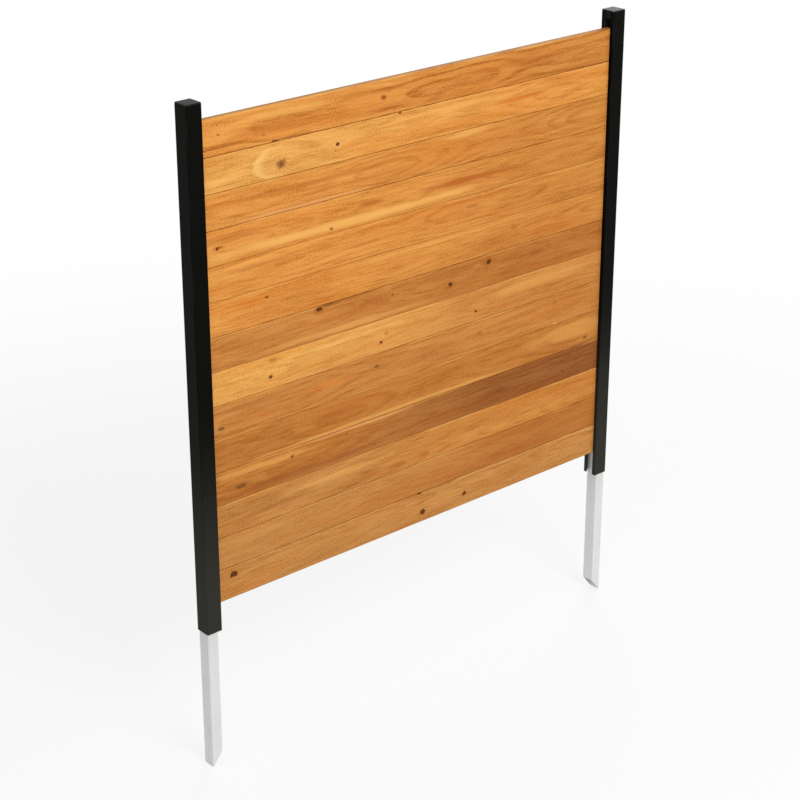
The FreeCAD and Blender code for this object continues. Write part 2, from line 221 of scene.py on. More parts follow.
class NodeSheet:
    """The nodes of one material, or of the world."""

    def __init__(self, owner: bpy.types.Material | bpy.types.World) -> None:
        """Starts an empty sheet.

        Args:
            owner: The material or world whose nodes these are.
        """
        owner.use_nodes = True
        self.owner = owner
        self.tree = owner.node_tree
        self.tree.nodes.clear()

    @classmethod
    def of_material(cls, name: str) -> NodeSheet:
        """Makes a new material and starts its sheet."""
        return cls(bpy.data.materials.new(name))

    @staticmethod
    def find(sockets: Sequence[bpy.types.NodeSocket], key: int | str) -> bpy.types.NodeSocket:
        """Finds a socket.

        Args:
            sockets: A node's inputs or outputs.
            key: The socket's number, identifier or name.

        Returns:
            The socket.

        Raises:
            KeyError: If the node has no such socket.
        """
        if isinstance(key, int):
            return sockets[key]
        for socket in sockets:
            if key in (socket.identifier, socket.name):
                return socket
        raise KeyError(key)

    def make(
        self,
        kind: str,
        settings: Mapping[str, object] | None = None,
        inputs: Mapping[int | str, object] | None = None,
    ) -> Made:
        """Makes any node: its settings are set first, and then its sockets.

        Args:
            kind: The node's type.
            settings: The node's own settings. The stops of a ramp are pairs of place and colour.
            inputs: Values or links for the sockets, by number, identifier or name.

        Returns:
            The node.
        """
        node = self.tree.nodes.new(kind)
        for name, value in (settings or {}).items():
            if name == "stops":
                ramp = node.color_ramp
                while len(ramp.elements) < len(value):
                    ramp.elements.new(0.5)
                for element, (place, colour) in zip(ramp.elements, value):
                    element.position = place
                    element.color = colour
            else:
                setattr(node, name, value)
        for key, value in (inputs or {}).items():
            socket = self.find(node.inputs, key)
            if isinstance(value, Wire):
                self.tree.links.new(value.socket, socket)
            else:
                socket.default_value = value
        return Made(self, node)

    def place(self, centre: Vector) -> tuple[Wire, Wire, Wire]:
        """Gives the shaded point in the object's own coordinates, counted from a centre.

        Args:
            centre: The point that becomes the origin.

        Returns:
            The point's x, y and z.
        """
        texture = self.make("ShaderNodeTexCoord")
        moved = self.make(
            "ShaderNodeMapping",
            {"vector_type": "POINT"},
            {"Vector": texture["Object"], "Location": -centre},
        )
        parts = self.make("ShaderNodeSeparateXYZ", None, {0: moved["Vector"]})
        return parts[0], parts[1], parts[2]

    def point(self, x: Value, y: Value, z: Value) -> Wire:
        """Joins three numbers into a vector."""
        return self.make("ShaderNodeCombineXYZ", None, {0: x, 1: y, 2: z})[0]

    def clouds(
        self, where: Wire, scale: float = 1.0, detail: float = 2.0, roughness: float = 0.5
    ) -> Wire:
        """Adds a noise texture.

        Args:
            where: The vector it is read at.
            scale: How many lumps there are in one unit of that vector.
            detail: How many finer layers it has.
            roughness: How strong the finer layers are.

        Returns:
            A number from 0 to 1, mostly near 0.5.
        """
        made = self.make(
            "ShaderNodeTexNoise",
            {"noise_dimensions": "3D"},
            {"Vector": where, "Scale": scale, "Detail": detail, "Roughness": roughness},
        )
        return made["Fac"]

    def rise(self, value: Value, low: float, high: float) -> Wire:
        """Rises smoothly from 0, where the value is low, to 1, where it is high.

        Args:
            value: The number to look at.
            low: Where the rise starts.
            high: Where it ends.

        Returns:
            A number from 0 to 1.
        """
        made = self.make(
            "ShaderNodeMapRange",
            {"interpolation_type": "SMOOTHSTEP", "clamp": True},
            {"Value": value, "From Min": low, "From Max": high},
        )
        return made[0]

    def blend(
        self, share: Value, under: Wire | Colour, over: Wire | Colour, way: str = "MIX"
    ) -> Wire:
        """Mixes two colours.

        Args:
            share: How much of the upper colour shows.
            under: The lower colour.
            over: The upper colour.
            way: How they are mixed.

        Returns:
            The mixed colour.
        """
        made = self.make(
            "ShaderNodeMix",
            {"data_type": "RGBA", "blend_type": way, "clamp_factor": True},
            {"Factor_Float": share, "A_Color": under, "B_Color": over},
        )
        return made["Result_Color"]

    def ramp(self, value: Wire, stops: Sequence[tuple[float, Colour]]) -> Wire:
        """Turns a number into a colour by a ramp."""
        return self.make("ShaderNodeValToRGB", {"stops": list(stops)}, {"Fac": value})["Color"]

    def bump(self, height: Wire, strength: float, distance: float) -> Wire:
        """Turns a height into a bent surface normal."""
        made = self.make(
            "ShaderNodeBump", None, {"Height": height, "Strength": strength, "Distance": distance}
        )
        return made["Normal"]

    def seen_directly(self) -> Wire:
        """Gives 1 to rays from the camera, in a reflection or through glass, and 0 to others."""
        path = self.make("ShaderNodeLightPath")
        return path["Is Camera Ray"].larger(path["Is Glossy Ray"]).larger(
            path["Is Transmission Ray"]
        )

    def finish(self, sockets: Mapping[str, object]) -> bpy.types.Material:
        """Ends the sheet of a material with one surface shader.

        Args:
            sockets: Values or links for the shader's sockets.

        Returns:
            The material.
        """
        surface = self.make("ShaderNodeBsdfPrincipled", None, sockets)
        self.make("ShaderNodeOutputMaterial", None, {"Surface": surface["BSDF"]})
        return self.owner


# ---------------------------------------------------------------- wood


class Stain(Enum):
    """The tones of the stained boards, from the palest to the darkest."""

    STRAW = paint(221, 160, 83)
    HONEY = paint(216, 146, 70)
    GOLD = paint(199, 131, 61)
    TAN = paint(194, 136, 73)
    AMBER = paint(195, 130, 65)
    OCHRE = paint(187, 121, 56)
    CHESTNUT = paint(180, 113, 52)
    WALNUT = paint(146, 89, 43)


class Tint(Enum):
    """The colours of streaks that differ from the board round them."""

    PALE = paint(240, 194, 116)
    STRAW = paint(234, 176, 94)
    ORANGE = paint(208, 122, 44)
    RUST = paint(182, 102, 42)
    BROWN = paint(152, 90, 42)
    PINK = paint(226, 164, 104)


class Shade(Enum):
    """What the stain is multiplied by, channel by channel, where a mark lies on it."""

    SAWN = (0.76, 0.68, 0.58, 1.0)
    FIBRE = (0.80, 0.74, 0.66, 1.0)
    REDDER = (0.98, 0.86, 0.70, 1.0)
    YELLOWER = (1.06, 1.10, 1.08, 1.0)
    PALE_FIBRE = (1.14, 1.26, 1.50, 1.0)
    LIGHT_HALO = (1.16, 1.26, 1.50, 1.0)
    DARK_HALO = (0.76, 0.64, 0.50, 1.0)


# Dark brown for the bottoms of the V-grooves: dirt together with painted shade for the gap between
# boards.
JOINT_DIRT_AND_SHADE = paint(110, 52, 0)
WORN_EDGE = paint(132, 84, 36)


class KnotLook(Enum):
    """How a knot differs from the wood round it.

    Each holds the colour of its heart, the colour of its rim, how strongly they show and how
    soft its edge is, as a share of its radius.
    """

    DARK = (paint(92, 46, 14), paint(62, 26, 6), 0.92, 0.30)
    DULL = (paint(126, 84, 40), paint(92, 54, 22), 0.85, 0.45)
    SOFT = (paint(112, 66, 36), paint(146, 98, 52), 0.92, 0.70)
    RED = (paint(158, 80, 34), paint(118, 52, 18), 0.80, 0.50)
    FAINT = (paint(176, 110, 50), paint(138, 78, 30), 0.55, 0.60)
    RING = (paint(170, 92, 34), paint(96, 44, 12), 0.95, 0.50)


@dataclass(frozen=True)
class Knot:
    """A knot in a board.

    Attributes:
        along: Its place along the board, from the board's middle.
        up: Its place up the board's face, from the middle of the face.
        radius: Its radius up the face.
        look: How it looks.
        stretch: How much longer it is along the board.
        halo: How strongly the wood round it is tinted, light if below 0.
    """

    along: float
    up: float
    radius: float
    look: KnotLook = KnotLook.DARK
    stretch: float = 1.2
    halo: float = 0.3


@dataclass(frozen=True)
class Patch:
    """An oval mark on a board's face.

    Attributes:
        along: Its middle along the board, from the board's middle.
        up: Its middle up the face, from the middle of the face.
        length: Half its length.
        height: Half its height.
    """

    along: float
    up: float
    length: float
    height: float

    def spread(self, x: Wire, level: Wire) -> tuple[Wire, Wire]:
        """Measures from the mark's middle, so that the oval's edge is at 1.

        Args:
            x: Distance along the board.
            level: Height on the face.

        Returns:
            The distance along the board, and the distance in all.
        """
        across = (x - self.along) * (1 / self.length)
        above = (level - self.up) * (1 / self.height)
        return across, (across * across + above * above).root()


@dataclass(frozen=True)
class Flame(Patch):
    """A long streak of another colour that follows the grain.

    Attributes:
        tint: Its colour.
        strength: How much of that colour shows.
    """

    tint: Tint
    strength: float


class Crescent(Patch):
    """A pale half-moon at the left of a knot, with a clear outer edge."""


@dataclass(frozen=True)
class Chip(Patch):
    """A splinter gone from a board's edge.

    Attributes:
        colour: The colour of the bare spot.
    """

    colour: Colour = paint(62, 36, 18)


@dataclass
class WoodPoint:
    """The shaded point of a board, with the noises that several of its marks share.

    Attributes:
        sheet: The material's node sheet.
        seed: Shifts the noises.
        x: Distance along the board, from its middle.
        y: Distance through the board, from its middle.
        z: Height on the face, from its middle.
        ruffle: A fine noise that makes outlines uneven.
        slow: A long noise that waves the grain.
        quick: A shorter noise that frays streaks.
        front: 1 on the board's front and 0 on its back.
        bent: Height on the face once the grain has bent round the knots.
        grain: The same with the grain's waves.
    """

    sheet: NodeSheet
    seed: float
    x: Wire
    y: Wire
    z: Wire
    ruffle: Wire = field(init=False)
    slow: Wire = field(init=False)
    quick: Wire = field(init=False)
    front: Wire = field(init=False)
    bent: Wire = field(init=False)
    grain: Wire = field(init=False)

    def __post_init__(self) -> None:
        """Makes the shared noises, for a board without knots."""
        self.ruffle = self.clouds(self.z, (110.0, 40.0, 110.0)) - 0.5
        self.slow = self.clouds(self.z, (1.5, 4.0, 7.0), detail=1.0) - 0.5
        self.quick = self.clouds(self.z, (9.0, 20.0, 34.0), detail=3.0) - 0.5
        self.front = self.sheet.rise(self.y, 0.004, -0.004)
        self.bent = self.z
        self.grain = self.z

    def clouds(
        self,
        level: Wire,
        scale: tuple[float, float, float],
        detail: float = 2.0,
        roughness: float = 0.5,
    ) -> Wire:
        """Adds a noise that is stretched along the board.

        Args:
            level: Height on the face, as it is or along the grain.
            scale: How many lumps lie in a metre along, through and up the board.
            detail: How many finer layers it has.
            roughness: How strong the finer layers are.

        Returns:
            A number from 0 to 1, mostly near 0.5.
        """
        along, through, up = scale
        where = self.sheet.point(self.x * along + self.seed, self.y * through, level * up)
        return self.sheet.clouds(where, detail=detail, roughness=roughness)

    def bend_round(self, knots: Sequence[Knot]) -> list[Wire]:
        """Bends the grain round the board's knots, and lets it wave.

        Args:
            knots: The knots.

        Returns:
            The distance from the middle of each knot, as its uneven outline has it.
        """
        distances = []
        for knot in knots:
            size = knot.radius**2
            across = (self.x - knot.along) * (1 / knot.stretch)
            above = self.z - knot.up
            square = across * across + above * above
            self.bent = self.bent - above * (1.5 * size) / (square + 0.3 * size)
            distances.append(square.root() * (1.0 + self.ruffle * 1.3))
        self.grain = self.bent + self.slow * 0.022 + self.quick * 0.0042
        return distances


@dataclass(frozen=True)
class StainedWood:
    """Stained softwood with growth rings, streaks, knots and saw marks.

    Attributes:
        left: The stain at the left end.
        right: The stain at the right end, partly the wood's own tone and partly painted shade for
            light falling off towards the right.
        knots: The knots.
        flames: The streaks of another colour.
        chips: The chips on its edges.
        crescents: The pale half-moons beside knots.
        heart_up: Height of the tree's heart on the board's face.
        heart_depth: Depth of the tree's heart behind the board's middle.
        ring_width: The distance between growth rings.
        ring_strength: How dark the late wood is.
        ring_drift: How far the heart wanders along the board, which closes the rings to arches.
        streak_strength: How strong the streaks are.
        saw_strength: How strong the saw marks are.
        saw_end: Where the saw marks fade out, from the board's middle.
        saw_pitch: The distance between saw marks.
        pale_fibres: How many pale fibres lie in the stain.
        seed: Shifts the pattern, so that no two boards are alike.
    """

    left: Stain
    right: Stain
    knots: tuple[Knot, ...] = ()
    flames: tuple[Flame, ...] = ()
    chips: tuple[Chip, ...] = ()
    crescents: tuple[Crescent, ...] = ()
    heart_up: float = 0.0
    heart_depth: float = 0.035
    ring_width: float = 0.0036
    ring_strength: float = 0.10
    ring_drift: float = 0.06
    streak_strength: float = 0.6
    saw_strength: float = 0.35
    saw_end: float = 0.0
    saw_pitch: float = 0.0056
    pale_fibres: float = 0.4
    seed: float = 0.0

    def palette(self, base: Colour) -> list[tuple[float, Colour]]:
        """Gives the stops of the ramp from the darkest streak to the palest."""
        return [
            (0.0, tinted(base, 0.50, 0.38, 0.28)),
            (0.26, tinted(base, 0.79, 0.69, 0.57)),
            (0.5, base),
            (0.74, tinted(base, 1.10, 1.17, 1.28)),
            (1.0, tinted(base, 1.20, 1.38, 1.75)),
        ]

    def dress(self, name: str, board: Board) -> bpy.types.Material:
        """Builds the material of one board.

        Args:
            name: The material's name.
            board: The board that it is for.

        Returns:
            The material.
        """
        sheet = NodeSheet.of_material(name)
        middle = Vector((0.0, 0.0, board.centre_height))
        at = WoodPoint(sheet, self.seed, *sheet.place(middle))
        distances = at.bend_round(self.knots)
        tone = self.tone(at)
        stain = sheet.ramp(tone, self.palette(self.left.value))
        if self.right is not self.left:
            # The right end's stain is partly the wood's own tone and partly painted shade for
            # light falling off towards the right.
            other = sheet.ramp(tone, self.palette(self.right.value))
            stain = sheet.blend(sheet.rise(at.x + at.slow * 0.5, -0.42, 0.46), stain, other)
        stain = self.vary_hue(at, stain)
        for flame in self.flames:
            stain = self.add_flame(at, stain, flame)
        for crescent in self.crescents:
            stain = self.add_crescent(at, stain, crescent)
        sawn = self.saw_marks(at)
        stain = sheet.blend(sawn * 0.9, stain, Shade.SAWN.value, "MULTIPLY")
        for knot, distance in zip(self.knots, distances):
            stain = self.add_knot(sheet, stain, knot, distance)
        stain = self.darken_joints(at, stain, board)
        for chip in self.chips:
            stain = self.add_chip(at, stain, chip)
        fibre = sheet.clouds(sheet.point(at.x * 60.0, at.y * 900.0, at.grain * 2400.0), detail=1.0)
        stain = sheet.blend(fibre * 0.55, stain, Shade.FIBRE.value, "MULTIPLY")
        height = fibre * 0.35 + tone * 0.5 - sawn * 0.6
        return sheet.finish(
            {
                "Base Color": stain,
                "Roughness": 0.56 + (0.5 - tone) * 0.18 + fibre * 0.08,
                "Specular IOR Level": 0.06,
                "Normal": sheet.bump(height, 0.35, 0.0006),
            }
        )

    def tone(self, at: WoodPoint) -> Wire:
        """Joins rings, streaks and specks into one number, which is 0.5 for plain wood.

        Args:
            at: The shaded point.

        Returns:
            The tone, lower where the wood is darker.
        """
        sheet = at.sheet
        wander = sheet.point(at.x * 1.3 + self.seed * 1.7, 0.0, 0.0)
        drift = sheet.clouds(wander, detail=2.0) - 0.5
        sideways = at.grain - self.heart_up + drift * 0.03
        inward = at.y - self.heart_depth + drift * self.ring_drift
        radius = (sideways * sideways + inward * inward).root()
        band = (radius * (1 / self.ring_width)).fraction()
        late = sheet.rise(band, 0.3, 0.8) * (1.0 - sheet.rise(band, 0.86, 1.0))
        patch = at.clouds(at.grain, (3.6, 3.0, 16.0))
        late = late * sheet.rise(patch, 0.3, 0.7) * (2.0 * self.ring_strength)
        broad = at.clouds(at.grain, (3.6, 12.0, 44.0), detail=4.0, roughness=0.62)
        fine = at.clouds(at.grain, (20.0, 60.0, 290.0), detail=3.0, roughness=0.65)
        speck = sheet.clouds(sheet.point(at.x * 230.0, at.y * 230.0, at.z * 280.0 + self.seed))
        streaks = (broad - 0.5) * 1.05 + (fine - 0.5) * 1.5
        mottle = (speck - 0.5) * 0.7 + (patch - 0.5) * 0.46
        return 0.52 + streaks * self.streak_strength + mottle - late

    def vary_hue(self, at: WoodPoint, stain: Wire) -> Wire:
        """Lets the stain turn redder and yellower by patches, and lays pale fibres into it.

        Args:
            at: The shaded point.
            stain: The stain's colour so far.

        Returns:
            The stain's new colour.
        """
        sheet = at.sheet
        where = sheet.point(at.x * 2.4 + self.seed * 0.7, at.y * 9.0, at.grain * 30.0)
        warm = sheet.clouds(where, detail=3.0)
        redder = sheet.rise(warm, 0.48, 0.66) * 0.7
        stain = sheet.blend(redder, stain, Shade.REDDER.value, "MULTIPLY")
        yellower = sheet.rise(warm, 0.47, 0.34) * 0.7
        stain = sheet.blend(yellower, stain, Shade.YELLOWER.value, "MULTIPLY")
        fibres = sheet.rise(at.clouds(at.grain, (16.0, 300.0, 640.0)), 0.58, 0.74)
        fibres = fibres * sheet.rise(warm, 0.56, 0.40)
        return sheet.blend(
            fibres * self.pale_fibres, stain, Shade.PALE_FIBRE.value, "MULTIPLY"
        )

    def add_flame(self, at: WoodPoint, stain: Wire, flame: Flame) -> Wire:
        """Lays a streak of another colour into the stain, weaker on the board's back.

        Args:
            at: The shaded point.
            stain: The stain's colour so far.
            flame: The streak.

        Returns:
            The stain's new colour.
        """
        _, distance = flame.spread(at.x, at.grain * 0.35 + at.bent * 0.65)
        mark = 1.0 - at.sheet.rise(distance + at.quick, 0.35, 1.10)
        shown = 0.3 + at.front * 0.7
        return at.sheet.blend(mark * shown * flame.strength, stain, flame.tint.value)

    def add_crescent(self, at: WoodPoint, stain: Wire, crescent: Crescent) -> Wire:
        """Lays a pale half-moon into the stain on the board's front.

        Args:
            at: The shaded point.
            stain: The stain's colour so far.
            crescent: The half-moon.

        Returns:
            The stain's new colour.
        """
        sheet = at.sheet
        across, distance = crescent.spread(at.x, at.z)
        reach = distance + at.quick * 0.6
        inside = 1.0 - sheet.rise(reach, 0.86, 1.06)
        glow = 0.3 + sheet.rise(reach, 0.45, 0.88) * 0.7
        mark = inside * glow * sheet.rise(across, 0.5, -0.7) * at.front
        return sheet.blend(mark * 0.7, stain, Tint.PALE.value)

    def add_knot(self, sheet: NodeSheet, stain: Wire, knot: Knot, distance: Wire) -> Wire:
        """Lays a knot into the stain, with its halo, its rings and its rim.

        Args:
            sheet: The material's node sheet.
            stain: The stain's colour so far.
            knot: The knot.
            distance: Distance from the knot's middle.

        Returns:
            The stain's new colour.
        """
        heart, rim, strength, softness = knot.look.value
        radius = knot.radius
        halo = Shade.LIGHT_HALO if knot.halo < 0 else Shade.DARK_HALO
        round_it = 1.0 - sheet.rise(distance, radius * 0.9, radius * 3.0)
        stain = sheet.blend(round_it * abs(knot.halo), stain, halo.value, "MULTIPLY")
        inside = 1.0 - sheet.rise(
            distance, radius * (1.0 - softness), radius * (1.0 + softness * 0.6)
        )
        rings = (distance * (2.4 / radius)).fraction()
        core = sheet.blend(rings * 0.35, heart, rim)
        stain = sheet.blend(inside * strength, stain, core)
        edge = sheet.rise(distance, radius * 0.6, radius * 0.88) * (
            1.0 - sheet.rise(distance, radius * 0.95, radius * (1.15 + softness * 0.4))
        )
        return sheet.blend(edge * strength * 0.7, stain, rim)

    def add_chip(self, at: WoodPoint, stain: Wire, chip: Chip) -> Wire:
        """Lays the bare spot of a lost splinter into the stain.

        Args:
            at: The shaded point.
            stain: The stain's colour so far.
            chip: The chip.

        Returns:
            The stain's new colour.
        """
        _, distance = chip.spread(at.x, at.z)
        reach = distance * (1.0 + at.ruffle * 1.6)
        bare = 1.0 - at.sheet.rise(reach, 0.55, 1.0)
        return at.sheet.blend(bare * 0.9, stain, chip.colour)

    def saw_marks(self, at: WoodPoint) -> Wire:
        """Gives the fine upright marks that the saw left, which fade out along the board.

        Args:
            at: The shaded point.

        Returns:
            A number from 0, where there is no mark, upwards.
        """
        waver = at.clouds(at.z, (11.0, 5.0, 12.0), detail=1.0)
        lines = abs((at.x * (1 / self.saw_pitch) + waver * 2.2).fraction() - 0.5) * 2.0
        shown = at.sheet.rise(at.clouds(at.z, (6.0, 3.0, 30.0)), 0.38, 0.62)
        fade = 1.0 - at.sheet.rise(at.x, self.saw_end - 0.3, self.saw_end)
        return lines * shown * (fade * 0.85 + 0.15) * self.saw_strength

    def darken_joints(self, at: WoodPoint, stain: Wire, board: Board) -> Wire:
        """Darkens the eased edges towards the joint with stain, dirt and painted shade for the
        gap, and lightens the upper edge with a painted highlight.

        Args:
            at: The shaded point.
            stain: The stain's colour so far.
            board: The board.

        Returns:
            The stain's new colour.
        """
        sheet = at.sheet
        ragged = at.clouds(at.z, (30.0, 0.0, 60.0), detail=3.0) - 0.5
        spell = at.clouds(at.z, (5.0, 0.0, 30.0), detail=1.0)
        top = board.face / 2
        # Painted highlight: a straw tint lightens the upper eased edge, where light catches it.
        lip_highlight = sheet.rise(at.z, top - board.vee * 3.4, top - board.vee * 1.2)
        stain = sheet.blend(lip_highlight * sheet.rise(spell, 0.42, 0.6) * 0.5, stain, Tint.STRAW.value)
        # Painted shade with dirt: the eased edges darken towards the bottom of the V-groove, where
        # the boards meet.
        depth = board.thickness / 2 - abs(at.y) + ragged * 0.0012
        groove_dirt_and_shade = sheet.rise(depth, 0.0002, board.vee * 0.85)
        foot, head = board.joint_dirt_and_shade
        dirt_and_shade = foot + sheet.rise(at.z, -0.01, 0.01) * (head - foot)
        if board.is_highest:
            groove_dirt_and_shade = groove_dirt_and_shade * (1.0 - sheet.rise(at.z, top - board.vee, top - board.vee * 0.8))
            worn = sheet.rise(at.z, top - 0.0005, top - 0.0001) * sheet.rise(at.y, -0.003, 0.006)
            stain = sheet.blend(worn * 0.75, stain, WORN_EDGE)
        return sheet.blend(groove_dirt_and_shade * (1.0 + ragged * 0.6) * dirt_and_shade, stain, JOINT_DIRT_AND_SHADE)


# ---------------------------------------------------------------- other finishes


@dataclass(frozen=True)
class PowderCoat:
    """Black powder coat: satin, with a fine orange-peel skin, worn corners and a painted floor
    reflection at its foot.

    Attributes:
        colour: The coat's colour.
        roughness: The coat's roughness.
        peel: How many lumps the skin has in a metre.
        wall: Thickness of the wall, behind which the coat is thin and has dust on it.
    """

    colour: Colour = paint(7, 7, 5)
    roughness: float = 0.46
    peel: float = 900.0
    wall: float = 0.0015

    def dress(self, name: str, centre: Vector, half: float) -> bpy.types.Material:
        """Builds the material of a square post.

        Args:
            name: The material's name.
            centre: The middle of the post's foot.
            half: Half the post's width.

        Returns:
            The material.
        """
        sheet = NodeSheet.of_material(name)
        x, y, z = sheet.place(centre)
        where = sheet.point(x, y, z)
        lumps = sheet.clouds(where, self.peel, 2.0, 0.6)
        cloud = sheet.clouds(sheet.point(x * 9.0, y * 9.0, z * 2.5), detail=3.0)
        wear_and_shadow = sheet.clouds(sheet.point(x * 60.0, y * 60.0, z * 12.0), detail=4.0)
        side = abs(x) * abs(y) * (1 / (half * half))
        corner = sheet.rise(side, 0.86, 0.97) * sheet.rise(wear_and_shadow, 0.5, 0.7)
        dust = sheet.rise(sheet.clouds(where, 420.0, 3.0, 0.7), 0.66, 0.76)
        coat = sheet.blend(cloud * 0.5, self.colour, tinted(self.colour, 1.35, 1.34, 1.28))
        # Painted reflection: the coat lightens towards the post's foot, as if the pale floor were
        # reflected there.
        painted_floor_reflection = sheet.rise(z + (cloud - 0.5) * 0.2, 0.52, 0.02)
        coat = sheet.blend(painted_floor_reflection, coat, paint(48, 47, 42))
        coat = sheet.blend(corner * 0.25, coat, paint(54, 53, 49))
        coat = sheet.blend(dust * 0.15, coat, paint(64, 62, 57))
        reach = abs(x).larger(abs(y))
        within = 1.0 - sheet.rise(reach, half - self.wall * 0.9, half - self.wall * 0.6)
        coat = sheet.blend(within, coat, paint(78, 77, 70))
        return sheet.finish(
            {
                "Base Color": coat,
                "Roughness": self.roughness + (cloud - 0.5) * 0.16 + dust * 0.2,
                "Specular IOR Level": 0.03,
                "Normal": sheet.bump(lumps, 0.22, 0.0004),
            }
        )


@dataclass(frozen=True)
class MouldedPlastic:
    """Black moulded plastic with a fine eroded grain.

    Attributes:
        colour: The plastic's colour.
        roughness: The plastic's roughness.
        plate_foot: Height above which the cap lies open to the light and to dust.
    """

    colour: Colour = paint(18, 20, 15)
    roughness: float = 0.5
    plate_foot: float = 1.1652

    def dress(self, name: str) -> bpy.types.Material:
        """Builds the material of the caps."""
        sheet = NodeSheet.of_material(name)
        x, y, z = sheet.place(Vector())
        where = sheet.point(x, y, z)
        grain = sheet.clouds(where, 1900.0, 3.0, 0.7)
        cloud = sheet.clouds(where, 55.0, 3.0, 0.6)
        scuff = sheet.rise(
            sheet.clouds(sheet.point(x * 700.0, y * 60.0, z * 60.0), detail=2.0), 0.68, 0.75
        )
        colour = sheet.blend(cloud * 0.6, self.colour, tinted(self.colour, 1.5, 1.5, 1.5))
        colour = sheet.blend(scuff * 0.2, colour, paint(90, 90, 90))
        inner = 1.0 - sheet.rise(z, self.plate_foot - 0.0004, self.plate_foot)
        colour = sheet.blend(inner, colour, paint(10, 10, 8))
        return sheet.finish(
            {
                "Base Color": colour,
                "Roughness": self.roughness + (cloud - 0.5) * 0.15 + scuff * 0.15,
                "Specular IOR Level": 0.08,
                "Normal": sheet.bump(grain, 0.25, 0.0002),
            }
        )


@dataclass(frozen=True)
class ZincCoat:
    """Galvanised steel tube: pale zinc crystals, with faint marks along the tube.

    Attributes:
        colour: The zinc's colour.
        crystal: How many crystals lie along a metre.
    """

    colour: Colour = paint(221, 222, 221)
    crystal: float = 170.0

    def dress(self, name: str) -> bpy.types.Material:
        """Builds the material of the stakes."""
        sheet = NodeSheet.of_material(name)
        x, y, z = sheet.place(Vector())
        where = sheet.point(x, y, z)
        cells = sheet.make(
            "ShaderNodeTexVoronoi",
            {"voronoi_dimensions": "3D", "feature": "F1"},
            {"Vector": where, "Scale": self.crystal, "Randomness": 1.0},
        )
        shade = sheet.make("ShaderNodeSeparateColor", None, {"Color": cells["Color"]})["Red"]
        drawn = sheet.clouds(sheet.point(x * 420.0, y * 420.0, z * 5.0), detail=3.0)
        cloud = sheet.clouds(where, 14.0, 2.0, 0.5)
        dull = sheet.rise(cloud, 0.46, 0.74)
        colour = sheet.blend(shade * 0.25, self.colour, tinted(self.colour, 0.94, 0.945, 0.95))
        colour = sheet.blend(dull * 0.3, colour, tinted(self.colour, 0.9, 0.91, 0.9))
        colour = sheet.blend(
            sheet.rise(drawn, 0.5, 0.66) * 0.5, colour, tinted(self.colour, 0.84, 0.845, 0.86)
        )
        # Painted shadow: the tube darkens towards its top, just below the post's foot, where the
        # post shades it.
        wear_and_shadow = sheet.rise(z + (cloud - 0.5) * 0.1, -0.14, 0.01)
        colour = sheet.blend(wear_and_shadow * 0.5, colour, tinted(self.colour, 0.84, 0.84, 0.82))
        height = drawn * 0.5 + shade * 0.2
        return sheet.finish(
            {
                "Base Color": colour,
                "Metallic": 0.35 - dull * 0.1,
                "Roughness": 0.5 + shade * 0.06 + dull * 0.08,
                "Normal": sheet.bump(height, 0.08, 0.0003),
            }
        )


@dataclass(frozen=True)
class BlackenedSteel:
    """Black coated screws, bare on the edges that the driver rubs.

    Attributes:
        colour: The coat's colour.
        bare: The colour of the steel where the coat is gone.
    """

    colour: Colour = paint(26, 26, 27)
    bare: Colour = paint(120, 118, 114)

    def dress(self, name: str) -> bpy.types.Material:
        """Builds the material of the screws."""
        sheet = NodeSheet.of_material(name)
        x, y, z = sheet.place(Vector())
        where = sheet.point(x, y, z)
        worn = sheet.rise(sheet.clouds(where, 900.0, 4.0, 0.65), 0.6, 0.72)
        cloud = sheet.clouds(where, 300.0, 2.0)
        colour = sheet.blend(cloud * 0.5, self.colour, tinted(self.colour, 1.7, 1.7, 1.7))
        colour = sheet.blend(worn * 0.6, colour, self.bare)
        return sheet.finish(
            {
                "Base Color": colour,
                "Metallic": 0.3 + worn * 0.6,
                "Roughness": 0.42 - worn * 0.1,
                "Normal": sheet.bump(cloud, 0.2, 0.0002),
            }
        )


# ---------------------------------------------------------------- pieces


def to_object(mesh_name: str, shape: bmesh.types.BMesh) -> bpy.types.Object:
    """Turns a finished bmesh into an object at the origin.

    Args:
        mesh_name: The name of the object and its mesh.
        shape: The bmesh, which is freed.

    Returns:
        The object, linked to the scene.
    """
    bmesh.ops.recalc_face_normals(shape, faces=shape.faces)
    mesh = bpy.data.meshes.new(mesh_name)
    shape.to_mesh(mesh)
    shape.free()
    thing = bpy.data.objects.new(mesh_name, mesh)
    bpy.context.scene.collection.objects.link(thing)
    return thing


def soften(shape: bmesh.types.BMesh, limit: float = 0.6) -> None:
    """Shades a shape smoothly, but for edges that turn more sharply than a limit.

    Args:
        shape: The shape.
        limit: The largest turn, in radians, that still looks round.
    """
    for side in shape.faces:
        side.smooth = True
    for edge in shape.edges:
        edge.smooth = len(edge.link_faces) == 2 and edge.calc_face_angle(0.0) < limit


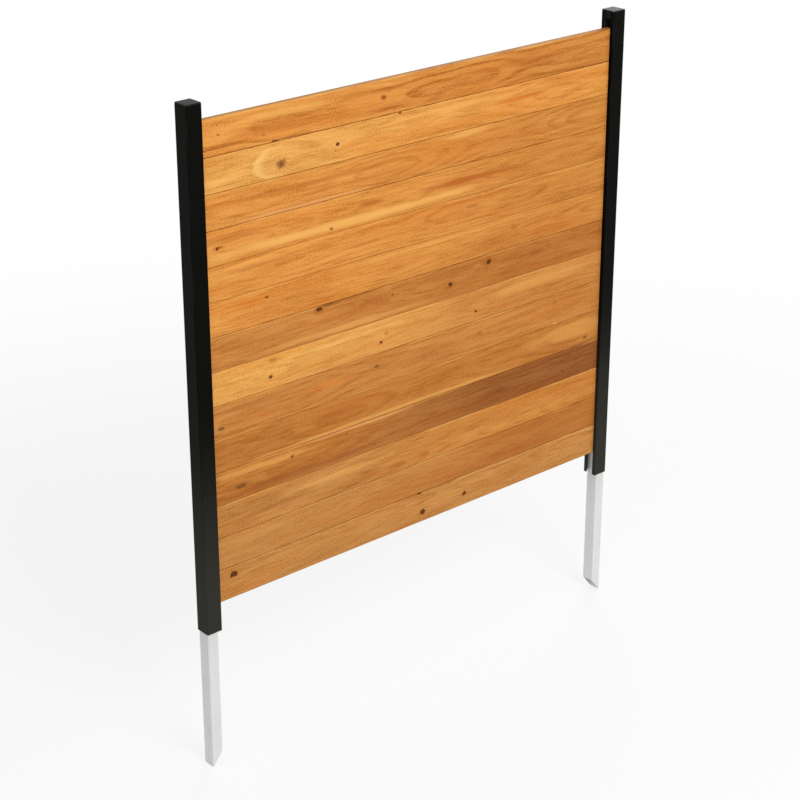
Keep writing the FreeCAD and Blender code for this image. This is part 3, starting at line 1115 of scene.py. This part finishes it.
@dataclass
class Board:
    """One tongue-and-groove board, with softened and slightly uneven edges.

    Attributes:
        number: Its number, from 1 at the foot.
        count: How many boards there are.
        finish: Its stain.
        slot: Its material slot in the record; not used.
        joint_dirt_and_shade: How dark the joints at its foot and at its head are, with dirt and
            painted shade.
        foot_gap: Height of the lowest board above the ground line.
        face: Height of a board's face.
        thickness: Its thickness.
        length: Its length.
        vee: How much each edge is eased.
        tongue: Thickness and height of the tongue.
        groove: Width and depth of the groove.
        edge_round: How far each eased edge is rounded.
        slices: How many lengths the board is cut into, so that its edges can wander.
        wander: How far an eased edge wanders at most.
    """

    number: int
    count: int
    finish: StainedWood
    slot: str
    joint_dirt_and_shade: tuple[float, float]
    foot_gap: float = 0.0603
    face: float = 0.0762
    thickness: float = 0.0175
    length: float = 1.16
    vee: float = 0.0012
    tongue: tuple[float, float] = (0.0055, 0.0060)
    groove: tuple[float, float] = (0.0059, 0.0066)
    edge_round: float = 0.0005
    slices: int = 58
    wander: float = 0.0003

    @property
    def name(self) -> str:
        """The name of the board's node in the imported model."""
        return f"board_{self.number:02d}"

    @property
    def is_highest(self) -> bool:
        """Whether this is the top board, which has no tongue."""
        return self.number == self.count

    @property
    def centre_height(self) -> float:
        """Height of the middle of the board's face."""
        return self.foot_gap + self.face * (self.number - 0.5)

    def outline(self) -> list[tuple[float, float]]:
        """Gives the board's section as points in depth and height."""
        half = self.thickness / 2
        back = [
            (half - self.vee, 0.0),
            (half, self.vee),
            (half, self.face - self.vee),
            (half - self.vee, self.face),
        ]
        if self.number > 1:
            slit = self.groove[0] / 2
            back = [(slit, self.groove[1]), (slit, 0.0), *back]
        if not self.is_highest:
            rib = self.tongue[0] / 2
            back += [(rib, self.face), (rib, self.face + self.tongue[1])]
        return back + [(-depth, height) for depth, height in reversed(back)]

    def shape(self) -> bmesh.types.BMesh:
        """Builds the board from its section.

        Returns:
            The board's shape, in place.
        """
        shape = bmesh.new()
        foot = self.centre_height - self.face / 2
        start = -self.length / 2
        corners = [
            shape.verts.new((start, depth, foot + height)) for depth, height in self.outline()
        ]
        end = shape.faces.new(corners)
        grown = bmesh.ops.extrude_face_region(shape, geom=[end])["geom"]
        moved = [item for item in grown if isinstance(item, bmesh.types.BMVert)]
        bmesh.ops.translate(shape, verts=moved, vec=(self.length, 0.0, 0.0))
        bmesh.ops.bevel(
            shape,
            geom=self.long_edges(shape, self.thickness / 2),
            offset=self.edge_round,
            offset_type="OFFSET",
            affect="EDGES",
            segments=2,
            profile=0.5,
            material=-1,
            clamp_overlap=True,
        )
        for index in range(1, self.slices):
            bmesh.ops.bisect_plane(
                shape,
                geom=[*shape.verts, *shape.edges, *shape.faces],
                plane_co=(start + self.length * index / self.slices, 0.0, 0.0),
                plane_no=(1.0, 0.0, 0.0),
            )
        self.roughen(shape, foot)
        soften(shape)
        return shape

    def long_edges(self, shape: bmesh.types.BMesh, half: float) -> list[bmesh.types.BMEdge]:
        """Finds the board's eased long edges, front and back.

        Args:
            shape: The board's shape.
            half: Half the board's thickness.

        Returns:
            The edges where a face meets an eased edge.
        """
        return [
            edge
            for edge in shape.edges
            if abs(edge.verts[0].co.x - edge.verts[1].co.x) > 0.5 * self.length
            and abs(edge.verts[0].co.y) > half - 1e-6
        ]

    def roughen(self, shape: bmesh.types.BMesh, foot: float) -> None:
        """Lets the eased edges wander inwards a little, as a moulder leaves them.

        Args:
            shape: The board's shape.
            foot: Height of the board's lower edge.
        """
        half = self.thickness / 2
        for vertex in shape.verts:
            place = vertex.co
            height = place.z - foot
            near = min(abs(height), abs(self.face - height))
            if near > self.vee * 1.6 or abs(place.y) < half - self.vee - 1e-5:
                continue
            wander = noise.noise(
                Vector((place.x * 21.0, self.number * 3.7 + place.y * 40.0, round(height, 2)))
            )
            place.y -= math.copysign(abs(wander) * self.wander, place.y)

    def build(self) -> bpy.types.Object:
        """Makes the board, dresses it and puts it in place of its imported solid."""
        thing = to_object(self.name + "_stained", self.shape())
        thing.data.materials.append(self.finish.dress(self.name + "_wood", self))
        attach(thing, "panel")
        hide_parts(self.name)
        return thing


HONEY = "honey_wood"
AMBER = "amber_wood"
BROWN = "brown_wood"

# The slot and the wood of each board, from the foot upwards.
BOARD_WOODS: tuple[tuple[str, StainedWood], ...] = (
    (HONEY, StainedWood(
        Stain.TAN, Stain.TAN,
        knots=(
            Knot(-0.529, 0.0188, 0.0066, KnotLook.DARK, 1.3),
            Knot(0.010, -0.0140, 0.0058, KnotLook.DARK, 1.1),
            Knot(0.140, -0.0086, 0.0048, KnotLook.DARK, 1.1),
        ),
        chips=(Chip(0.001, 0.0366, 0.0075, 0.0022),),
        heart_up=0.02, pale_fibres=0.5, seed=1.3,
    )),
    (HONEY, StainedWood(
        Stain.TAN, Stain.CHESTNUT,
        ring_strength=0.07, streak_strength=0.45, saw_strength=0.3, seed=8.1,
    )),
    (HONEY, StainedWood(
        Stain.TAN, Stain.GOLD,
        flames=(
            Flame(-0.24, 0.010, 0.16, 0.009, Tint.STRAW, 0.35),
            Flame(-0.44, -0.008, 0.14, 0.007, Tint.BROWN, 0.35),
        ),
        heart_up=-0.02, saw_end=0.1, saw_strength=0.8, seed=15.9,
    )),
    (BROWN, StainedWood(
        Stain.OCHRE, Stain.WALNUT,
        knots=(
            Knot(-0.364, 0.0164, 0.0032, KnotLook.DULL),
            Knot(-0.501, -0.0091, 0.0038, KnotLook.DULL, 2.2, 0.6),
            Knot(-0.211, 0.0241, 0.0022, KnotLook.FAINT),
            Knot(0.455, -0.0153, 0.0022),
        ),
        flames=(
            Flame(-0.35, -0.024, 0.26, 0.013, Tint.BROWN, 0.6),
            Flame(-0.42, 0.022, 0.16, 0.010, Tint.STRAW, 0.45),
            Flame(-0.52, -0.006, 0.07, 0.006, Tint.BROWN, 0.5),
            Flame(-0.18, 0.034, 0.22, 0.005, Tint.PINK, 0.6),
        ),
        saw_end=-0.1, saw_strength=0.9, streak_strength=0.7, seed=22.4,
    )),
    (HONEY, StainedWood(
        Stain.OCHRE, Stain.OCHRE,
        knots=(
            Knot(-0.363, -0.0046, 0.0050, KnotLook.FAINT, 1.1, -0.3),
            Knot(0.527, -0.0217, 0.0030, KnotLook.DULL, 2.2),
        ),
        flames=(
            Flame(-0.10, -0.033, 0.50, 0.006, Tint.STRAW, 0.5),
            Flame(-0.20, 0.012, 0.18, 0.012, Tint.RUST, 0.5),
            Flame(0.50, 0.006, 0.18, 0.026, Tint.STRAW, 0.35),
        ),
        ring_width=0.008, ring_drift=0.12, ring_strength=0.12,
        saw_strength=0.8, seed=29.2,
    )),
    (HONEY, StainedWood(
        Stain.AMBER, Stain.AMBER,
        knots=(
            Knot(-0.546, -0.0147, 0.0036, KnotLook.DULL, 1.9),
            Knot(-0.127, 0.0083, 0.0026, KnotLook.DULL, 2.0),
            Knot(-0.321, -0.0037, 0.0018, KnotLook.FAINT),
            Knot(0.423, 0.0187, 0.0026, KnotLook.FAINT),
            Knot(0.181, 0.0061, 0.0022, KnotLook.FAINT, 2.2),
        ),
        flames=(
            Flame(-0.26, 0.004, 0.11, 0.010, Tint.ORANGE, 0.5),
            Flame(-0.46, 0.018, 0.10, 0.008, Tint.BROWN, 0.35),
            Flame(-0.44, -0.012, 0.06, 0.005, Tint.ORANGE, 0.5),
        ),
        chips=(Chip(0.424, -0.0362, 0.0080, 0.0026, Tint.PINK.value),),
        ring_width=0.009, ring_drift=0.12, ring_strength=0.12, seed=36.6,
    )),
    (AMBER, StainedWood(
        Stain.STRAW, Stain.AMBER,
        knots=(
            Knot(-0.416, -0.0108, 0.0036, KnotLook.DARK, 1.2, 0.5),
            Knot(-0.113, -0.0146, 0.0028, KnotLook.DARK, 1.2, 0.4),
            Knot(0.168, -0.0142, 0.0026),
            Knot(-0.410, 0.0263, 0.0030, KnotLook.FAINT, 2.4),
            Knot(-0.098, 0.0031, 0.0022, KnotLook.FAINT, 1.6),
        ),
        flames=(
            Flame(0.36, 0.010, 0.18, 0.014, Tint.STRAW, 0.35),
            Flame(-0.20, 0.020, 0.20, 0.006, Tint.PALE, 0.3),
        ),
        ring_strength=0.08, streak_strength=0.5, pale_fibres=0.6, seed=43.7,
    )),
    (AMBER, StainedWood(
        Stain.AMBER, Stain.CHESTNUT,
        knots=(
            Knot(-0.284, 0.0310, 0.0046, KnotLook.DARK, 1.5, 0.9),
            Knot(-0.260, 0.0360, 0.0028, KnotLook.DULL, 5.0, 0.6),
            Knot(-0.081, 0.0132, 0.0017, KnotLook.DARK, 1.5),
            Knot(0.089, -0.0056, 0.0052, KnotLook.DARK, 1.1, 0.5),
            Knot(0.206, 0.0202, 0.0046, KnotLook.DARK, 1.1, 0.4),
            Knot(0.390, 0.0170, 0.0026, KnotLook.FAINT, 1.6),
        ),
        flames=(
            Flame(-0.135, 0.0120, 0.060, 0.0042, Tint.RUST, 0.75),
            Flame(-0.20, 0.0345, 0.100, 0.0040, Tint.BROWN, 0.7),
            Flame(0.17, 0.0190, 0.018, 0.0045, Tint.PINK, 0.45),
            Flame(-0.42, 0.004, 0.20, 0.0045, Tint.RUST, 0.5),
            Flame(-0.20, -0.026, 0.30, 0.0080, Tint.STRAW, 0.4),
            Flame(0.12, 0.022, 0.14, 0.0100, Tint.BROWN, 0.3),
        ),
        heart_up=0.01, streak_strength=0.65, seed=50.2,
    )),
    (HONEY, StainedWood(
        Stain.HONEY, Stain.GOLD,
        knots=(
            Knot(-0.421, 0.0171, 0.0017, KnotLook.DARK, 2.4),
            Knot(0.282, 0.0092, 0.0042, KnotLook.FAINT, 1.7, 0.15),
        ),
        flames=(
            Flame(-0.465, 0.0168, 0.055, 0.0050, Tint.ORANGE, 1.0),
            Flame(-0.48, -0.012, 0.09, 0.008, Tint.RUST, 0.3),
            Flame(0.05, 0.030, 0.30, 0.005, Tint.STRAW, 0.4),
            Flame(0.42, -0.020, 0.14, 0.010, Tint.RUST, 0.3),
        ),
        saw_strength=0.7, seed=57.5,
    )),
    (HONEY, StainedWood(
        Stain.HONEY, Stain.GOLD,
        knots=(Knot(0.153, 0.0118, 0.0030, KnotLook.FAINT, 5.0, 0.1),),
        flames=(
            Flame(-0.45, 0.016, 0.12, 0.008, Tint.BROWN, 0.3),
            Flame(0.10, 0.004, 0.14, 0.007, Tint.RUST, 0.35),
            Flame(0.44, 0.010, 0.12, 0.010, Tint.RUST, 0.35),
        ),
        heart_up=0.012, ring_width=0.007, ring_drift=0.12, ring_strength=0.13, seed=64.9,
    )),
    (HONEY, StainedWood(
        Stain.HONEY, Stain.GOLD,
        knots=(
            Knot(-0.541, -0.0014, 0.0026, KnotLook.DARK, 1.5),
            Knot(-0.534, -0.0006, 0.0016, KnotLook.RED, 4.0),
            Knot(-0.248, -0.0268, 0.0026, KnotLook.DULL, 1.4, 0.5),
        ),
        flames=(
            Flame(-0.20, -0.021, 0.46, 0.012, Tint.STRAW, 0.85),
            Flame(-0.139, 0.0069, 0.045, 0.0070, Tint.RUST, 0.85),
            Flame(0.159, 0.0020, 0.160, 0.0085, Tint.RUST, 1.0),
            Flame(0.42, 0.016, 0.12, 0.0080, Tint.RUST, 0.45),
            Flame(-0.50, 0.014, 0.10, 0.012, Tint.BROWN, 0.35),
        ),
        seed=71.3,
    )),
    (HONEY, StainedWood(
        Stain.HONEY, Stain.GOLD,
        flames=(
            Flame(-0.33, -0.034, 0.22, 0.005, Tint.PINK, 0.6),
            Flame(-0.30, 0.010, 0.26, 0.007, Tint.RUST, 0.5),
            Flame(-0.16, -0.012, 0.20, 0.006, Tint.RUST, 0.4),
            Flame(0.129, 0.029, 0.08, 0.009, Tint.STRAW, 0.6),
            Flame(0.40, -0.008, 0.16, 0.010, Tint.RUST, 0.35),
        ),
        ring_width=0.006, ring_drift=0.10, ring_strength=0.12,
        saw_end=0.1, saw_strength=0.75, seed=78.8,
    )),
    (HONEY, StainedWood(
        Stain.STRAW, Stain.HONEY,
        knots=(
            Knot(-0.375, -0.0105, 0.0080, KnotLook.SOFT, 1.3, -0.4),
            Knot(-0.228, 0.0010, 0.0046, KnotLook.DARK, 1.1, -0.3),
            Knot(-0.234, -0.0117, 0.0014, KnotLook.RED, 2.0, -0.4),
        ),
        flames=(
            Flame(0.282, 0.0036, 0.095, 0.0068, Tint.ORANGE, 0.95),
            Flame(0.330, 0.0066, 0.050, 0.0030, Tint.RUST, 0.6),
            Flame(0.15, 0.020, 0.30, 0.008, Tint.STRAW, 0.4),
            Flame(-0.30, 0.012, 0.05, 0.009, Tint.RUST, 0.25),
        ),
        crescents=(Crescent(-0.388, -0.003, 0.062, 0.037),),
        chips=(Chip(-0.059, 0.0358, 0.0070, 0.0030, paint(128, 62, 20)),),
        ring_width=0.009, ring_drift=0.12,
        saw_end=-0.25, saw_strength=0.8, seed=85.1,
    )),
    (HONEY, StainedWood(
        Stain.HONEY, Stain.GOLD,
        knots=(
            Knot(-0.530, 0.0233, 0.0014, KnotLook.RED, 1.2, -0.4),
            Knot(-0.528, 0.0034, 0.0018, KnotLook.RED, 2.0, -0.4),
            Knot(-0.417, -0.0180, 0.0026, KnotLook.FAINT, 1.2),
            Knot(-0.104, 0.0013, 0.0042, KnotLook.RING, 1.2, 0.4),
            Knot(0.123, -0.0101, 0.0034, KnotLook.FAINT, 1.2, -0.5),
        ),
        flames=(
            Flame(-0.36, 0.020, 0.14, 0.009, Tint.STRAW, 0.45),
            Flame(-0.40, -0.008, 0.17, 0.014, Tint.RUST, 0.40),
            Flame(-0.10, -0.020, 0.16, 0.009, Tint.RUST, 0.25),
            Flame(0.037, -0.0286, 0.040, 0.0060, Tint.RUST, 0.6),
            Flame(0.30, 0.010, 0.20, 0.010, Tint.RUST, 0.22),
        ),
        chips=(Chip(-0.390, -0.0366, 0.0115, 0.0028),),
        heart_depth=0.03, ring_width=0.011, ring_drift=0.16, ring_strength=0.22,
        saw_strength=0.15, seed=92.6,
    )),
)


@dataclass
class Panel:
    """The fourteen boards, each with the stain, knots and streaks of its own.

    Attributes:
        woods: The slot and the wood of each board, from the foot upwards.
        joint_dirt_and_shade: How dark each joint is, with dirt and painted shade, from the lowest
            board's foot to the highest's head.
    """

    woods: tuple[tuple[str, StainedWood], ...] = BOARD_WOODS
    joint_dirt_and_shade: tuple[float, ...] = (
        0.7, 0.85, 0.75, 0.45, 0.7, 0.4, 0.6, 0.45, 0.85, 0.5, 0.4, 0.8, 0.8, 0.95, 0.9
    )

    def build(self) -> None:
        """Makes every board."""
        for number, (slot, wood) in enumerate(self.woods, start=1):
            edges = self.joint_dirt_and_shade[number - 1], self.joint_dirt_and_shade[number]
            thing = Board(number, len(self.woods), wood, slot, edges).build()
            LOG.info("%s: %d faces", thing.name, len(thing.data.polygons))


@dataclass
class Metalwork:
    """The posts, caps, stakes and screws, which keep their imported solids.

    Attributes:
        nodes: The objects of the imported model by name.
        coat: The finish of the posts.
        plastic: The finish of the caps.
        zinc: The finish of the stakes.
        steel: The finish of the screws.
    """

    nodes: Mapping[str, bpy.types.Object]
    coat: PowderCoat = PowderCoat()
    plastic: MouldedPlastic = MouldedPlastic()
    zinc: ZincCoat = ZincCoat()
    steel: BlackenedSteel = BlackenedSteel()

    def give(self, name: str, material: bpy.types.Material) -> None:
        """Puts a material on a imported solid.

        Args:
            name: The solid's name.
            material: The material.
        """
        node = self.nodes[name]
        if not node.material_slots:
            node.data.materials.append(material)
        for slot in node.material_slots:
            slot.material = material
        LOG.info("%s: %s", name, material.name)

    def dress(self) -> None:
        """Dresses every metal piece and both caps."""
        plastic = self.plastic.dress("cap_plastic")
        zinc = self.zinc.dress("stake_zinc")
        steel = self.steel.dress("screw_steel")
        for side in ("left", "right"):
            low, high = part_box(side + "_post")
            foot = Vector(((low.x + high.x) / 2, (low.y + high.y) / 2, low.z))
            coat = self.coat.dress(side + "_post_coat", foot, (high.x - low.x) / 2)
            self.give(side + "_post", coat)
            self.give(side + "_cap", plastic)
            self.give(side + "_stake", zinc)
            self.give(side + "_lock_screws", steel)
            self.give(side + "_board_screws", steel)


# ---------------------------------------------------------------- studio


WHITE: Colour = (1.0, 1.0, 1.0, 1.0)


@dataclass(frozen=True)
class Lamp:
    """A square soft box.

    Attributes:
        name: Its name.
        place: Where it stands.
        aim: The point it faces.
        side: The length of its sides.
        power: Its power in watts.
    """

    name: str
    place: tuple[float, float, float]
    aim: tuple[float, float, float]
    side: float
    power: float

    def build(self) -> None:
        """Makes the lamp."""
        light = bpy.data.lights.new(self.name, "AREA")
        light.shape = "SQUARE"
        light.size = self.side
        light.energy = self.power
        thing = bpy.data.objects.new(self.name, light)
        bpy.context.scene.collection.objects.link(thing)
        towards = Vector(self.aim) - Vector(self.place)
        thing.matrix_world = Matrix.LocRotScale(
            Vector(self.place), towards.to_track_quat("-Z", "Y"), None
        )


@dataclass
class Studio:
    """The pale floor, the lights and the camera.

    Attributes:
        floor_height: Height of the floor, half a millimetre below the points of the stakes.
        floor_reach: Half the floor's width.
        lamps: The lamps.
        daylight: Strength of the light from all round.
        eye: Where the camera stands.
        pitch: How far the camera looks down, in radians.
        turn: How far the camera is turned about the vertical, in radians.
        lens: Focal length in millimetres.
        shift: How far the frame is shifted, as a share of its width.
        floor_glow: How much of the floor, as it is seen, is plain white.
        fade: Distances from the screen between which the floor turns wholly white.
    """

    floor_height: float = -0.3365
    floor_reach: float = 30.0
    lamps: tuple[Lamp, ...] = (
        Lamp("key_lamp", (-0.6, -4.1, 3.4), (0.0, 0.0, 0.6), 2.4, 152.0),
        Lamp("fill_lamp", (3.2, -2.8, 1.8), (0.0, 0.0, 0.5), 2.6, 16.0),
        Lamp("rear_lamp", (4.1, 3.4, 3.2), (0.0, 0.0, 0.6), 2.6, 90.0),
    )
    daylight: float = 0.50
    eye: tuple[float, float, float] = (-2.7467, -3.1233, 2.2333)
    pitch: float = 0.4020
    turn: float = -0.7120
    lens: float = 91.03
    shift: tuple[float, float] = (0.0, -0.05)
    floor_glow: float = 0.78
    fade: tuple[float, float] = (1.2, 3.6)

    def lay_floor(self) -> None:
        """Lays a wide pale floor that keeps the screen's shadow and fades to white far away."""
        shape = bmesh.new()
        bmesh.ops.create_grid(shape, x_segments=4, y_segments=4, size=self.floor_reach)
        bmesh.ops.translate(shape, verts=shape.verts, vec=(0.0, 0.0, self.floor_height))
        floor = to_object("floor", shape)
        sheet = NodeSheet.of_material("pale_floor")
        x, y, _ = sheet.place(Vector())
        far = sheet.rise((x * x + y * y).root(), *self.fade)
        matt = sheet.make("ShaderNodeBsdfDiffuse", None, {"Color": (0.88, 0.88, 0.88, 1.0)})
        glow = sheet.make("ShaderNodeEmission", None, {"Color": WHITE})
        share = sheet.seen_directly() * (self.floor_glow + (1.0 - self.floor_glow) * far)
        both = sheet.make(
            "ShaderNodeMixShader", None, {0: share, 1: matt["BSDF"], 2: glow["Emission"]}
        )
        sheet.make("ShaderNodeOutputMaterial", None, {"Surface": both[0]})
        floor.data.materials.append(sheet.owner)
        floor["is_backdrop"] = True

    def light_sky(self) -> None:
        """Lights the screen from all round, before a background that looks white."""
        world = bpy.data.worlds.new("studio_daylight")
        bpy.context.scene.world = world
        sheet = NodeSheet(world)
        strength = self.daylight + (1.0 - self.daylight) * sheet.seen_directly()
        sky = sheet.make("ShaderNodeBackground", None, {"Color": WHITE, "Strength": strength})
        sheet.make("ShaderNodeOutputWorld", None, {"Surface": sky["Background"]})

    def set_camera(self) -> None:
        """Stands the camera at the photograph's viewing angle, looking down at the screen."""
        lens = bpy.data.cameras.new("photo_camera")
        lens.lens = self.lens
        lens.sensor_width = 36.0
        lens.shift_x, lens.shift_y = self.shift
        lens.clip_end = 100.0
        thing = bpy.data.objects.new("photo_camera", lens)
        thing.location = self.eye
        thing.rotation_euler = (math.pi / 2 - self.pitch, 0.0, self.turn)
        bpy.context.scene.collection.objects.link(thing)
        bpy.context.scene.camera = thing

    def build(self) -> None:
        """Makes the floor, the lights and the camera."""
        bpy.context.scene.view_settings.view_transform = "Standard"
        self.lay_floor()
        self.light_sky()
        for lamp in self.lamps:
            lamp.build()
        self.set_camera()


def corners(box: Iterable[Vector]) -> list[list[float]]:
    """Turns a box into plain lists of numbers."""
    return [[round(float(value), 6) for value in corner] for corner in box]


def main() -> None:
    """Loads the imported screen, dresses it and sets it before the camera."""
    logging.basicConfig(level=logging.INFO, format="%(name)s: %(message)s")
    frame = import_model()
    solid_box = corners(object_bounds())
    Panel().build()
    Metalwork(frame["nodes"]).dress()
    Studio().build()
    bpy.context.view_layer.update()
    dressed_box = corners(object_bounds())
    LOG.info("packed %s, dressed %s", solid_box, dressed_box)


if __name__ == "__main__":
    main()
